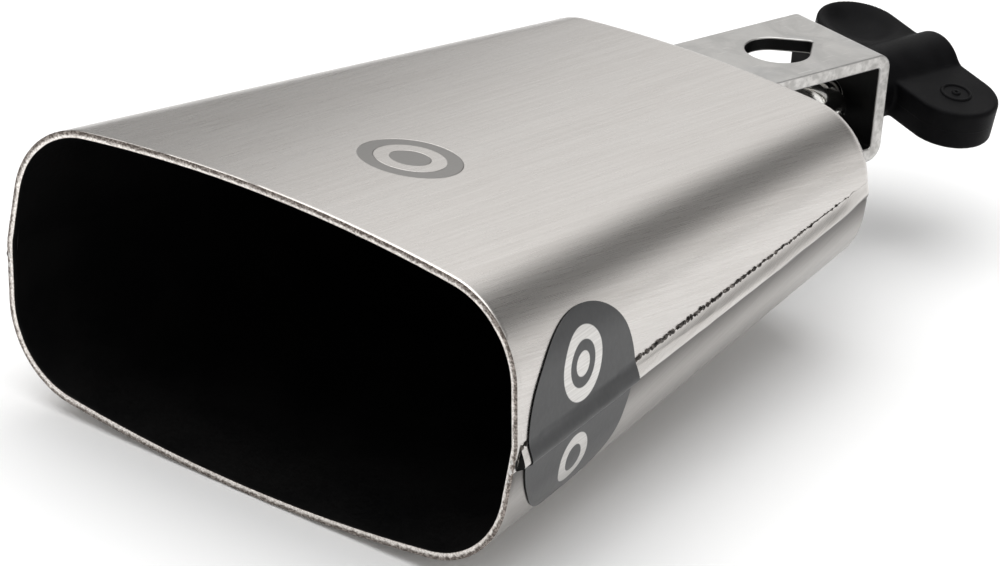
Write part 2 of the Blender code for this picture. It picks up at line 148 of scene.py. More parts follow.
# Studio: the dome's brightness by bearing in degrees, low down and higher up, and the softbox overhead
HORIZON = (
    (-180, 0.85), (-64, 0.50), (-46, 0.16), (-39, 0.28), (-32, 0.88), (-20, 1.05), (40, 1.05), (179, 0.85),
)
SCREENS = (
    (-180, 0.60), (-75, 0.40), (-48, 0.22), (-40, 0.36), (-33, 0.88), (-26, 0.98), (-15, 0.94), (-8, 0.66),
    (3, 0.16), (20, 0.12), (42, 0.20), (62, 0.65), (95, 0.85), (135, 0.35), (179, 0.60),
)
CEILING = (0.5, 0.5, 0.5)
HORIZON_BLEND, CEILING_BLEND = (0.06, 0.38), (0.72, 0.92)
OVERHEAD_OFFSET, OVERHEAD_SIZE, OVERHEAD_POWER = Vector((-0.22, 0.05, 1.1)), 1.8, 20
FLOOR_REACH, FLOOR_GAP = 4.0, 0.0002


# Small helpers ---------------------------------------------


def mix(a, b, share):
    return a + (b - a) * share


def smooth_step(value):
    value = min(max(value, 0.0), 1.0)
    return value * value * (3 - 2 * value)


def spread(start, stop, count):
    return [mix(start, stop, i / (count - 1)) for i in range(count)]


def arc(centre, radius, start, stop, steps):
    angles = spread(start, stop, steps + 1)
    return [(centre[0] + radius * cos(a), centre[1] + radius * sin(a)) for a in angles]


def ripple(x, y, z=0.0):
    """Smooth noise from -1 to 1."""
    return noise.noise(Vector((x, y, z)))


def lay_uvs(mesh, name, pairs):
    """A UV map from one pair for each point."""
    layer = mesh.uv_layers.new(name=name)
    corners = np.zeros(len(mesh.loops), np.int32)
    mesh.loops.foreach_get("vertex_index", corners)
    layer.data.foreach_set("uv", np.array(pairs, np.float32)[corners].ravel())


def new_object(name, points, faces, frame_matrix, slots=(), face_slots=None, uvs=None, smooth=40):
    """An object in its place, with its own mesh, materials and, if given, one UV pair for each point."""
    mesh = bpy.data.meshes.new(name)
    mesh.from_pydata([tuple(p) for p in points], [], faces)
    for material in slots:
        mesh.materials.append(material)
    if face_slots is not None:
        mesh.polygons.foreach_set("material_index", face_slots)
    if uvs is not None:
        lay_uvs(mesh, "UVMap", uvs)
    shape = bmesh.new()
    shape.from_mesh(mesh)
    bmesh.ops.recalc_face_normals(shape, faces=shape.faces)
    shape.to_mesh(mesh)
    shape.free()
    mesh.shade_smooth()
    mesh.set_sharp_from_angle(angle=radians(smooth))
    return placed(name, mesh, frame_matrix)


def placed(name, data, frame_matrix):
    """A new object in the scene, for a mesh, a light or a camera."""
    obj = bpy.data.objects.new(name, data)
    bpy.context.scene.collection.objects.link(obj)
    obj.matrix_world = frame_matrix
    return obj


def grid_faces(rows, columns, start=0, wrap=False):
    """Quads over a grid of points numbered row by row; wrap joins the last column to the first."""
    faces = []
    for r in range(rows - 1):
        for c in range(columns if wrap else columns - 1):
            a = start + r * columns + c
            b = start + r * columns + (c + 1) % columns
            faces.append((a, b, b + columns, a + columns))
    return faces


def apply_modifiers(obj):
    graph = bpy.context.evaluated_depsgraph_get()
    mesh = bpy.data.meshes.new_from_object(obj.evaluated_get(graph))
    obj.modifiers.clear()
    obj.data = mesh


def stands_for(obj, body, slot, *nodes):
    """A piece rides on its body and replaces its CAD nodes; the finish given as slot is not used."""
    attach(obj, body)
    if nodes:
        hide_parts(*nodes)


# Materials -------------------------------------------------


class Nodes:
    """Short calls for a node tree."""

    def __init__(self, tree):
        self.tree = tree

    def add(self, kind, **settings):
        node = self.tree.nodes.new(kind)
        for key, value in settings.items():
            setattr(node, key, value)
        return node

    def link(self, source, target):
        self.tree.links.new(source, target)

    def coordinates(self, kind="Object", scale=(1, 1, 1)):
        mapping = self.add("ShaderNodeMapping")
        mapping.inputs["Scale"].default_value = scale
        self.link(self.add("ShaderNodeTexCoord").outputs[kind], mapping.inputs["Vector"])
        return mapping.outputs["Vector"]

    def split(self, vector):
        node = self.add("ShaderNodeSeparateXYZ")
        self.link(vector, node.inputs[0])
        return node.outputs

    def noise(self, scale, detail=3.0, roughness=0.5, distortion=0.0, kind="Object"):
        """Noise with one scale, or stretched by a scale for each axis."""
        stretch = scale if isinstance(scale, tuple) else (scale, scale, scale)
        node = self.add("ShaderNodeTexNoise")
        values = {"Scale": 1.0, "Detail": detail, "Roughness": roughness, "Distortion": distortion}
        for name, value in values.items():
            node.inputs[name].default_value = value
        self.link(self.coordinates(kind, stretch), node.inputs["Vector"])
        return node.outputs["Fac"]

    def ramp(self, value, low, high, out_low=0.0, out_high=1.0):
        node = self.add("ShaderNodeMapRange", interpolation_type="SMOOTHSTEP")
        for socket, number in zip(node.inputs[1:5], (low, high, out_low, out_high)):
            socket.default_value = number
        self.link(value, node.inputs["Value"])
        return node.outputs["Result"]

    def math(self, operation, a, b=None):
        node = self.add("ShaderNodeMath", operation=operation)
        for socket, value in zip(node.inputs, (a, b)):
            if isinstance(value, (int, float)):
                socket.default_value = value
            elif value is not None:
                self.link(value, socket)
        return node.outputs[0]

    def blend(self, share, first, second):
        node = self.add("ShaderNodeMix", data_type="RGBA")
        self.link(share, node.inputs["Factor"])
        for socket, colour in ((node.inputs[6], first), (node.inputs[7], second)):
            if isinstance(colour, tuple):
                socket.default_value = (*colour, 1.0)
            else:
                self.link(colour, socket)
        return node.outputs[2]

    def tones(self, value, low, high, first, second):
        """Goes from the first colour to the second as the value goes from low to high."""
        return self.blend(self.ramp(value, low, high), first, second)


class Surface(Nodes):
    """A new material's nodes and its shader."""

    def __init__(self, name, metallic):
        self.material = bpy.data.materials.new(name)
        self.material.use_nodes = True
        super().__init__(self.material.node_tree)
        self.shader = self.tree.nodes["Principled BSDF"]
        self.shader.inputs["Metallic"].default_value = metallic

    def finished(self, colour, roughness, heights):
        """The material, once its colour, roughness and bumps, as (value, depth in metres), are linked."""
        self.link(colour, self.shader.inputs["Base Color"])
        self.link(roughness, self.shader.inputs["Roughness"])
        normal = None
        for value, depth in heights:
            node = self.add("ShaderNodeBump")
            node.inputs["Strength"].default_value = 1.0
            node.inputs["Distance"].default_value = depth
            self.link(value, node.inputs["Height"])
            if normal is not None:
                self.link(normal, node.inputs["Normal"])
            normal = node.outputs["Normal"]
        self.link(normal, self.shader.inputs["Normal"])
        return self.material


def ring_mask(n, vector, centre, rings, soft=0.00012):
    """1 inside any of the rings (inner, outer radius) round a centre, on a flat pair of coordinates."""
    shift = n.add("ShaderNodeVectorMath", operation="SUBTRACT")
    n.link(vector, shift.inputs[0])
    shift.inputs[1].default_value = (*centre, 0)
    length = n.add("ShaderNodeVectorMath", operation="LENGTH")
    n.link(shift.outputs[0], length.inputs[0])
    radius = length.outputs["Value"]
    mask = None
    for inner, outer in rings:
        ring = n.ramp(radius, outer - soft, outer + soft, 1.0, 0.0)
        if inner > 0:
            ring = n.math("MULTIPLY", n.ramp(radius, inner - soft, inner + soft), ring)
        mask = ring if mask is None else n.math("MAXIMUM", mask, ring)
    return mask


def brushed_steel(emblem=None, folded=False):
    """Satin steel brushed along V, with a printed emblem or, below the lower shell's fold, a band of painted
    shade that is also a little rougher.
    """
    n = Surface("brushed_steel", 1.0)
    fine = n.noise((5200, 60, 60), 4.0, 0.65, kind="UV")
    medium = n.noise((1300, 18, 18), 4.0, 0.6, kind="UV")
    broad = n.noise((90, 14, 14), 2.0, 0.5, kind="UV")
    light = n.tones(medium, 0.30, 0.72, (0.565, 0.540, 0.517), (0.630, 0.605, 0.582))
    streaked = n.tones(fine, 0.28, 0.50, (0.515, 0.488, 0.464), light)
    toned = n.blend(n.ramp(broad, 0.35, 0.70, 0.0, 0.35), streaked, (0.620, 0.600, 0.580))
    roughness = n.ramp(fine, 0.25, 0.75, 0.33, 0.25)
    heights = [(medium, 0.000008), (fine, 0.000006)]
    if folded:
        # Painted shade below the crease: the colour is pulled towards near black, most near the crease and
        # gone about 30 mm below it; the band is also a little rougher.
        fold = n.add("ShaderNodeUVMap", uv_map="Fold")
        wander = n.math("MULTIPLY", n.math("SUBTRACT", broad, 0.5), 0.0012)
        below = n.math("ADD", n.split(fold.outputs["UV"])["X"], wander)
        deep, fading = n.ramp(below, 0.0002, 0.0085, 0.90, 0.34), n.ramp(below, 0.011, 0.030, 1.0, 0.0)
        painted_shade_band = n.math("MULTIPLY", n.math("MULTIPLY", deep, fading), n.ramp(below, -0.0010, -0.0004))
        toned = n.blend(painted_shade_band, toned, (0.062, 0.057, 0.053))
        roughness = n.math("ADD", roughness, n.math("MULTIPLY", painted_shade_band, 0.10))
    if emblem is not None:
        mask = ring_mask(n, n.coordinates("UV"), *emblem)
        toned = n.blend(mask, toned, (0.235, 0.228, 0.220))
        roughness = n.math("ADD", roughness, n.math("MULTIPLY", mask, 0.12))
        heights.append((n.math("SUBTRACT", 1.0, mask), 0.00018))
    return n.finished(toned, roughness, heights)


def sheared_steel():
    """Smooth light metal on cut edges, softly mottled."""
    n = Surface("sheared_steel", 1.0)
    grain = n.noise(2600, 4.0, 0.6)
    patches = n.noise(420, 3.0, 0.6)
    stains = n.noise(900, 3.0, 0.6)
    body = n.tones(patches, 0.35, 0.68, (0.42, 0.410, 0.396), (0.63, 0.617, 0.600))
    colour = n.blend(n.ramp(stains, 0.30, 0.42, 0.45, 0.0), body, (0.30, 0.29, 0.28))
    return n.finished(colour, n.ramp(grain, 0.2, 0.8, 0.52, 0.34), [(patches, 0.00012), (grain, 0.00004)])


def torn_rim():
    """The mouth's cut edge: V runs from the inner skin, burnished, to the outer one, torn and dark."""
    n = Surface("torn_rim", 1.0)
    grain = n.noise(2400, 4.0, 0.6)
    patches = n.noise(700, 3.0, 0.6)
    wander = n.math("MULTIPLY", n.math("SUBTRACT", patches, 0.5), 0.0008)
    across = n.math("ADD", n.split(n.coordinates("UV"))["Y"], wander)
    outer = n.ramp(across, -SHEET * 0.66, -SHEET * 0.40)
    bright = n.tones(grain, 0.34, 0.62, (0.62, 0.575, 0.535), (0.93, 0.89, 0.85))
    dark = n.tones(grain, 0.42, 0.62, (0.110, 0.092, 0.081), (0.36, 0.322, 0.295))
    colour = n.blend(outer, bright, dark)
    return n.finished(colour, n.ramp(grain, 0.2, 0.8, 0.55, 0.30), [(patches, 0.00015), (grain, 0.00007)])


def crease_painted_shade():
    """Painted shade in the lap's crease: near-black, mottled steel, duller than the brushed skin."""
    n = Surface("crease_painted_shade", 0.9)
    patches = n.noise(500, 4.0, 0.6)
    grain = n.noise(2600, 3.0, 0.5)
    colour = n.tones(patches, 0.3, 0.7, (0.040, 0.035, 0.031), (0.125, 0.112, 0.102))
    return n.finished(colour, n.ramp(grain, 0.2, 0.8, 0.62, 0.42), [(patches, 0.00008), (grain, 0.00003)])


def plate_steel():
    """Tumbled plate: satin, with cloudy stains and stray scratches."""
    n = Surface("plate_steel", 1.0)
    clouds = n.noise(95, 5.0, 0.6, 0.6)
    stains = n.noise(38, 3.0, 0.55)
    grain = n.noise(2600, 3.0, 0.55)
    scratches = n.noise((2600, 160, 160), 2.0, 0.4, 0.4)
    body = n.tones(clouds, 0.34, 0.66, (0.385, 0.378, 0.368), (0.500, 0.490, 0.476))
    stained = n.blend(n.ramp(stains, 0.50, 0.72, 0.0, 0.55), body, (0.335, 0.342, 0.352))
    colour = n.blend(n.ramp(scratches, 0.66, 0.74, 0.0, 0.5), stained, (0.66, 0.65, 0.63))
    heights = [(clouds, 0.00004), (grain, 0.00002), (scratches, 0.00001)]
    return n.finished(colour, n.ramp(clouds, 0.3, 0.7, 0.40, 0.30), heights)


def painted_shade_inside():
    """Painted shade: near black on faces that the light doesn't reach."""
    n = Surface("painted_shade_inside", 0.0)
    n.shader.inputs["Specular IOR Level"].default_value = 0.12
    grain = n.noise(900, 4.0, 0.6)
    broad = n.noise(60, 3.0, 0.5)
    colour = n.tones(broad, 0.3, 0.7, (0.0018, 0.0018, 0.0020), (0.0042, 0.0040, 0.0040))
    return n.finished(colour, n.ramp(grain, 0.2, 0.8, 0.42, 0.60), [(grain, 0.00003)])


def weld_steel():
    """Scorched bead: near black in its hollows, with metal showing on the crests."""
    n = Surface("weld_steel", 0.85)
    lumps = n.noise(900, 5.0, 0.65)
    specks = n.noise(2400, 3.0, 0.6)
    body = n.tones(lumps, 0.42, 0.66, (0.016, 0.0135, 0.012), (0.200, 0.180, 0.165))
    colour = n.blend(n.ramp(specks, 0.64, 0.74, 0.0, 0.7), body, (0.50, 0.46, 0.42))
    return n.finished(colour, n.ramp(lumps, 0.3, 0.7, 0.65, 0.35), [(lumps, 0.0002), (specks, 0.00006)])


def ground_weld():
    """Weld lump left as laid: grey, smooth crests and darker pores."""
    n = Surface("ground_weld", 1.0)
    lumps = n.noise(700, 4.0, 0.6)
    specks = n.noise(2600, 3.0, 0.6)
    body = n.tones(lumps, 0.35, 0.62, (0.20, 0.185, 0.17), (0.52, 0.50, 0.47))
    colour = n.blend(n.ramp(specks, 0.28, 0.38, 0.8, 0.0), body, (0.05, 0.045, 0.04))
    return n.finished(colour, n.ramp(lumps, 0.3, 0.7, 0.55, 0.32), [(lumps, 0.00015), (specks, 0.00004)])


def plated_steel():
    """Bright zinc plate with faint draw lines."""
    n = Surface("plated_steel", 1.0)
    clouds = n.noise(260, 4.0, 0.6)
    grain = n.noise((500, 500, 3200), 3.0, 0.5)
    colour = n.tones(clouds, 0.35, 0.7, (0.70, 0.69, 0.66), (0.88, 0.87, 0.84))
    return n.finished(colour, n.ramp(grain, 0.25, 0.75, 0.24, 0.12), [(grain, 0.000012), (clouds, 0.00003)])


def moulded_plastic():
    """Black plastic with a fine spark-eroded texture and a parting line at mid thickness."""
    n = Surface("moulded_plastic", 0.0)
    n.shader.inputs["Specular IOR Level"].default_value = 0.05
    grain = n.noise(3400, 3.0, 0.6)
    cloud = n.noise(160, 4.0, 0.6)
    scuffs = n.noise((900, 2200, 300), 3.0, 0.5, 0.5)
    seam = n.ramp(n.math("ABSOLUTE", n.split(n.coordinates())["Y"]), 0.00004, 0.00016, 1.0, 0.0)
    body = n.tones(cloud, 0.3, 0.72, (0.0021, 0.0021, 0.0025), (0.0047, 0.0046, 0.0051))
    colour = n.blend(n.ramp(scuffs, 0.66, 0.78, 0.0, 0.45), body, (0.020, 0.0195, 0.021))
    return n.finished(colour, n.ramp(grain, 0.25, 0.75, 0.58, 0.42), [(grain, 0.00004), (seam, 0.00005)])


def turned_brass():
    """Turned brass: fine rings from the tool under a light tarnish."""
    n = Surface("turned_brass", 1.0)
    rings = n.noise((60, 60, 4200))
    tarnish = n.noise(300, 4.0, 0.6)
    colour = n.tones(tarnish, 0.35, 0.7, (0.52, 0.36, 0.15), (0.76, 0.58, 0.29))
    return n.finished(colour, n.ramp(rings, 0.25, 0.75, 0.38, 0.22), [(rings, 0.00002)])


def badge_film(motif):
    """Smoked film with clear rings, through which brushed metal shows; the motif is (centre, rings) pairs."""
    n = Surface("badge_film", 0.0)
    n.shader.inputs["Specular IOR Level"].default_value = 0.34
    n.shader.inputs["Coat Weight"].default_value = 0.08
    n.shader.inputs["Coat Roughness"].default_value = 0.12
    flat = n.coordinates("UV")
    mask = n.math("MAXIMUM", *(ring_mask(n, flat, centre, rings) for centre, rings in motif))
    lines = n.noise((60, 2600, 60), 3.0, 0.6, kind="UV")
    orange_peel = n.noise(700, 2.0, 0.5)
    clear = n.tones(lines, 0.3, 0.7, (0.56, 0.545, 0.525), (0.70, 0.685, 0.665))
    smoked = n.tones(orange_peel, 0.3, 0.7, (0.0185, 0.0190, 0.0205), (0.0235, 0.0240, 0.0255))
    n.link(n.math("MULTIPLY", mask, 0.9), n.shader.inputs["Metallic"])
    colour = n.blend(mask, smoked, clear)
    return n.finished(colour, n.ramp(mask, 0.0, 1.0, 0.30, 0.34), [(orange_peel, 0.00002)])


# Plain ring marks, each as a centre and its rings' inner and outer radii
MOTIF = (((0.0, 0.0101), ((0.0, 0.0027), (0.0050, 0.0079))), ((0.0, -0.0112), ((0.0030, 0.0056),)))
EMBLEM = ((0.0056, 0.0415), ((0.0, 0.0044), (0.0078, 0.0112)))

# The lower shell's steel has painted shade below its fold.
BRUSHED_FOLDED = brushed_steel(folded=True)
BRUSHED_MARKED = brushed_steel(EMBLEM)
SHEARED = sheared_steel()
TORN = torn_rim()
# Painted shade for the crease under the lap's ridge.
CREASE_SHADE = crease_painted_shade()
PLATE_STEEL = plate_steel()
# Painted shade for inner faces, hole walls and the ridge's front wall.
PAINTED_SHADE = painted_shade_inside()
WELD = weld_steel()
LUMP = ground_weld()
PLATED = plated_steel()
MOULDED = moulded_plastic()
BRASS = turned_brass()
FILM = badge_film(MOTIF)


# The bell's skin -------------------------------------------


def section_at(y):
    """The cross-section's five sizes at y, which shrink evenly from mouth to closed end."""
    share = min(y / WALL, 1.0)
    return tuple(mix(a, b, share) for a, b in zip(MOUTH, CLOSED_END))


def inset(section, distance):
    width, height, crown, lean, radius = section
    return (width - distance, height - distance, crown, lean, radius - distance)


def corner_of(section):
    """The corner arc's centre and end angles, the flat's length and the crown arc's radius and centre."""
    width, height, crown, lean, radius = section
    crown_radius = (width * width + crown * crown) / (2 * crown)
    crown_z = height - crown_radius
    reach = width - radius * sqrt(1 + lean * lean)
    a = 1 + lean * lean
    b = -2 * lean * reach - 2 * crown_z
    c = reach * reach + crown_z * crown_z - (crown_radius - radius) ** 2
    z = (-b + sqrt(b * b - 4 * a * c)) / (2 * a)
    x = reach - lean * z
    start, stop = atan2(lean, 1), atan2(z - crown_z, x)
    flat = hypot(lean, 1) * (z + radius * sin(start))
    return (x, z), start, stop, flat, crown_radius, crown_z


def skin_point(section, along, rise=0.0):
    """A point `along` the outline from the narrow side's middle, raised from the skin by `rise`."""
    width, lean, radius = section[0], section[3], section[4]
    centre, start, _, flat, _, _ = corner_of(section)
    run = abs(along)
    if run <= flat:
        turn = start
        z = run / hypot(lean, 1)
        x = width - lean * z
    else:
        turn = start + (run - flat) / radius
        x = centre[0] + radius * cos(turn)
        z = centre[1] + radius * sin(turn)
    side = 1 if along >= 0 else -1
    return x + rise * cos(turn), side * (z + rise * sin(turn))


def corner_end(section):
    """How far along the outline the corner meets the broad face."""
    _, start, stop, flat, _, _ = corner_of(section)
    return flat + section[4] * (stop - start)


def crown_row(section, steps, side):
    """Points over the broad face, from after the corner to the middle."""
    _, _, stop, _, radius, z = corner_of(section)
    return [(x, side * h) for x, h in arc((0, z), radius, stop, pi / 2, steps)[1:]]


def lip(y):
    above = mix(LAP_ABOVE_AT_MOUTH, LAP_ABOVE_AT_END, y / LENGTH)
    return mix(SEAM_AT_MOUTH, SEAM_AT_END, y / LENGTH) + above


def crease(y):
    below = mix(LAP_BELOW_AT_MOUTH, LAP_BELOW_AT_END, y / LENGTH)
    return mix(SEAM_AT_MOUTH, SEAM_AT_END, y / LENGTH) - below


def ridge_rise(y, along, side=1):
    """How far the lap's ridge stands out: a round crest over the crease, then a long slope to the lip."""
    if y < LIP_SETBACK:
        return 0.0
    wander = 0.00018 * ripple(y * 90, 3.0 * side) + 0.0001 * ripple(y * 300, 7.0 * side)
    low = crease(y) + wander
    share = (along - low) / (lip(y) - low)
    if share <= 0 or share >= 1:
        return 0.0
    height = mix(RIDGE_AT_MOUTH, RIDGE_AT_END, y / LENGTH) * (1 + 0.06 * ripple(y * 120, 5.0 * side))
    height *= 1 - 0.62 * smooth_step((y - RIDGE_FADE) / (WALL - RIDGE_FADE))
    rise = 0.0
    if share < CREST:
        rise = height * sqrt(1 - ((CREST - share) / CREST) ** 2)
    elif share < SLOPE_FOOT:
        fall = (share - CREST) / (SLOPE_FOOT - CREST)
        rise = height * (1 - smooth_step(0.12 + 0.76 * fall)) / (1 - smooth_step(0.12))
    return max(rise, mix(LIP_STEP, LIP_TRACE, smooth_step((y - LIP_FADE) / (WELD_STOP - LIP_FADE))))


def ridge_shares(count):
    """Places across the lap, closer together where the ridge is steep."""
    return [CREST * (1 - cos(a)) for a in spread(0, pi / 2, count)] + spread(0.27, 0.985, count)


# Half shells -----------------------------------------------

RIDGE_SHARES = ridge_shares(14)
CORNER_STEPS, CROWN_STEPS, END_STEPS, WALL_STEPS = 34, 16, 10, 8
# INSIDE and FOLD are the slots that take painted shade.
OUTSIDE, CUT, INSIDE, FOLD = range(4)
CROWN_RUN = 0.03  # far enough for each step of the broad face to be clear of the fold's band


def stations():
    """Places along the bell, from just behind the rim to where the closed end's edge starts."""
    near_rim = [RIM_EDGE, 0.0014, LIP_SETBACK - 0.00005, LIP_SETBACK + 0.00005, LIP_SETBACK + 0.0004]
    return near_rim + spread(LIP_SETBACK + 0.0012, WALL, 104)


def mirrored(half):
    return half + [(-x, z) for x, z in reversed(half[:-1])]


def upper_row(section, y, rises):
    """The upper shell's outline, which starts just under the lip; it has no ridge to rise."""
    first = lip(y) - TUCK if y > LIP_SETBACK else crease(0)
    half = [skin_point(section, along) for along in spread(first, corner_end(section), CORNER_STEPS)]
    return mirrored(half + crown_row(section, CROWN_STEPS, 1))


def lower_row(section, y, rises):
    """The lower shell's outline: over the ridge when `rises` isn't zero, then round the bottom."""
    low, high = crease(y), lip(y)
    if y <= LIP_SETBACK:
        low, high = crease(0) - RIM_LAP, crease(0)
    halves = []
    for side in (1, -1):
        alongs = [mix(low, high, share) for share in reversed(RIDGE_SHARES)]
        half = [skin_point(section, along, rises * ridge_rise(y, along, side)) for along in alongs]
        below = spread(low - CREASE_GAP, -corner_end(section), CORNER_STEPS)
        half += [skin_point(section, along) for along in below]
        halves.append(half + crown_row(section, CROWN_STEPS, -1))
    near, far = halves
    return near + [(-x, z) for x, z in reversed(far[:-1])]


def end_wall(edge_row, y):
    """Rows across the flat end wall, from its rounded edge to the joint between the shells."""
    reach, joint = edge_row[0][0] * 0.6, edge_row[0][1]
    ends = spread(reach, -reach, len(edge_row))
    rows = []
    for share in spread(0, 1, WALL_STEPS + 1)[1:]:
        rows.append([(mix(x, end, share), y, mix(z, joint, share)) for (x, z), end in zip(edge_row, ends)])
    return rows


def skin_rows(row_at, thickness, rises):
    """The shell's outer skin, or its inner one when thickness isn't zero."""
    rows, radius = [], END_RADIUS - thickness
    for y in stations():
        section = inset(section_at(y), thickness)
        rows.append([(x, y, z) for x, z in row_at(section, y, rises)])
    for i in range(1, END_STEPS + 1):
        turn = pi / 2 * i / END_STEPS
        section = inset(section_at(WALL), thickness + radius * (1 - cos(turn)))
        y = WALL + radius * sin(turn)
        rows.append([(x, y, z) for x, z in row_at(section, min(y, LENGTH), rises * cos(turn) ** 1.5)])
    return rows + end_wall([(x, z) for x, _, z in rows[-1]], WALL + radius)


def rim_rows(outer_row, inner_row, steps=7):
    """Rows round the rim's cut face, from the inner skin to the outer one, with a fine burr."""
    rows = []
    for turn in spread(0, pi, steps + 1)[1:-1]:
        share = 0.5 - 0.5 * cos(turn)
        depth = RIM_EDGE * (1 - sin(turn) ** 0.6) + RIM_DEPTH
        row = []
        for inner, outer in zip(inner_row, outer_row):
            x, z = mix(inner[0], outer[0], share), mix(inner[2], outer[2], share)
            burr = 0.00010 * ripple(x * 260, z * 260, 2.0) + 0.00005 * ripple(x * 900, z * 900, 5.0)
            row.append((x, max(depth + burr, 0.00001), z))
        rows.append(row)
    return rows


def shell(name, row_at, outer_material, ridge_columns=(), crease_columns=()):
    """A closed pressed half shell: inner skin, cut rim, outer skin and its edges."""
    inner, outer = skin_rows(row_at, SHEET, 0.0), skin_rows(row_at, 0.0, 1.0)
    rim = rim_rows(outer[0], inner[0])
    rows = list(reversed(inner)) + rim + outer
    columns, deep, total = len(outer[0]), len(inner), len(rows)
    across, first_outer = columns - 1, deep + len(rim)
    faces = grid_faces(total, columns)
    # Painted shade: the inner skin takes the INSIDE slot.
    face_slots = [INSIDE] * ((deep - 1) * across) + [CUT] * ((len(rim) + 1) * across)
    face_slots += [OUTSIDE] * (len(faces) - len(face_slots))
    # Painted shade on the ridge's short front wall.
    for c in ridge_columns:
        face_slots[(first_outer + 2) * across + c] = INSIDE
    # Painted shade: the faces along the crease take the FOLD slot.
    for row in range(first_outer + 1, total - WALL_STEPS - END_STEPS // 2):
        for c in crease_columns:
            face_slots[row * across + c] = FOLD
    pairs = [(deep - 1 - i, first_outer + i) for i in range(deep)]
    for column in (0, columns - 1):
        loops = [(a, b, d, c) for (a, b), (c, d) in zip(pairs, pairs[1:])]
        loops.append(range(deep - 1, first_outer + 1))
        faces += [tuple(row * columns + column for row in loop) for loop in loops]
    last = (total - 1) * columns
    faces += [(c, c + 1, last + c + 1, last + c) for c in range(across)]
    face_slots += [CUT] * (len(faces) - len(face_slots))
    points = [point for row in rows for point in row]
    # The last two slots hold painted shade: near black inside, dark steel in the crease.
    slots = (outer_material, TORN, PAINTED_SHADE, CREASE_SHADE)
    uvs = skin_uvs(rows, deep, len(rim))
    return new_object(name, points, faces, BELL_FRAME, slots, face_slots, uvs, 50)


def skin_uvs(rows, first_rim, rim_count):
    """U runs across from the broad face's middle, V along the bell; over the rim V is unrolled below zero."""
    uvs = []
    for number, row in enumerate(rows):
        rim_step = number - first_rim + 1
        unrolled = -SHEET * (1 - rim_step / (rim_count + 1)) if 0 < rim_step <= rim_count else None
        steps = np.linalg.norm(np.diff(np.array(row), axis=0), axis=1)
        run = np.concatenate([[0.0], np.cumsum(steps)])
        run -= run[len(run) // 2]
        uvs += [(-u, point[1] if unrolled is None else unrolled) for u, point in zip(run, row)]
    return uvs


def fold_distances(y):
    """How far each point of the lower shell's outline is below the crease, and less than zero above it."""
    low, high, corner = crease(y), lip(y), corner_end(section_at(y))
    half = [low - mix(low, high, share) for share in reversed(RIDGE_SHARES)]
    half += [low - along for along in spread(low - CREASE_GAP, -corner, CORNER_STEPS)]
    half += [low + corner + CROWN_RUN * i for i in range(1, CROWN_STEPS + 1)]
    return half + list(reversed(half[:-1]))


def mark_fold(mesh):
    """Gives the lower shell a second UV map, which holds the distance below its crease, where the painted
    shade is laid.
    """
    rows = [fold_distances(min(y, WALL)) for y in stations()]
    rows += [rows[-1]] * (END_STEPS + WALL_STEPS)
    rim = len(mesh.vertices) // len(rows[0]) - 2 * len(rows)
    rows = [*reversed(rows), *[rows[0]] * rim, *rows]
    lay_uvs(mesh, "Fold", [(distance, 0.0) for row in rows for distance in row])


def half_shells():
    upper = shell("upper_shell_skin", upper_row, BRUSHED_MARKED)
    stands_for(upper, "bell", "brushed_steel", "upper_shell")
    count = len(RIDGE_SHARES)
    across = 2 * (count + CORNER_STEPS + CROWN_STEPS) - 2
    ridge = [*range(count - 1), *range(across - count + 1, across)]
    creases = [*range(count - 4, count), *range(across - count, across - count + 4)]
    lower = shell("lower_shell_skin", lower_row, BRUSHED_FOLDED, ridge, creases)
    mark_fold(lower.data)
    stands_for(lower, "bell", "brushed_steel", "lower_shell")


# Seam welds ------------------------------------------------


def bead_middle(y, seed):
    """Where the bead's line runs on the skin: along the lip, which starts lower at the rim."""
    if y < LIP_SETBACK:
        return mix(crease(0), lip(LIP_SETBACK), y / LIP_SETBACK)
    return lip(y) + 0.00042 * ripple(y * 420, seed + 9.0) + 0.00026 * ripple(y * 1300, seed + 2.0)


def bead_width(y, seed):
    """Half the bead's width: uneven and broken, and thinner towards the closed end."""
    share = y / LENGTH
    broken = ripple(y * 900, seed) + 0.40 - 0.42 * smooth_step((share - 0.75) / 0.2)
    swell = 0.60 + 0.55 * ripple(y * 1500, seed + 4.0)
    fade = 1 - 0.55 * smooth_step((share - 0.30) / 0.5)
    return BEAD_WIDTH * max(smooth_step(broken / 0.5) * swell * fade, 0.0) + BEAD_LEAST


def seam_bead(name, side, node, seed, across=9):
    """A scorched, broken bead along the lip's edge, pressed flat where the badge lies over it."""
    rows = []
    for y in np.arange(WELD_START, WELD_STOP, BEAD_STEP):
        section, middle, width = section_at(y), bead_middle(y, seed), bead_width(y, seed)
        pressed = 0.3 if abs(y - BADGE_MIDDLE[0]) < BADGE_RADIUS + 0.0003 else 1.0
        row = []
        for turn in spread(0, pi, across):
            along = middle - width * cos(turn)
            swell = (BEAD_RISE + 0.00016 * ripple(y * 2600, along * 2600, seed)) * sin(turn)
            height = pressed * swell * min(width / 0.0004, 1.0) + LIP_STEP - BEAD_SINK
            row.append(skin_point(section, along, height))
        row.append(skin_point(section, middle, -BEAD_ROOT))
        rows.append([(side * x, y, z) for x, z in row])
    points = [point for row in rows for point in row]
    faces = grid_faces(len(rows), across + 1, wrap=True)
    faces += [tuple(range(across + 1)), tuple(range(len(points) - across - 1, len(points)))]
    bead = new_object(name, points, faces, BELL_FRAME, (WELD,), smooth=70)
    stands_for(bead, "bell", "weld_steel", node)


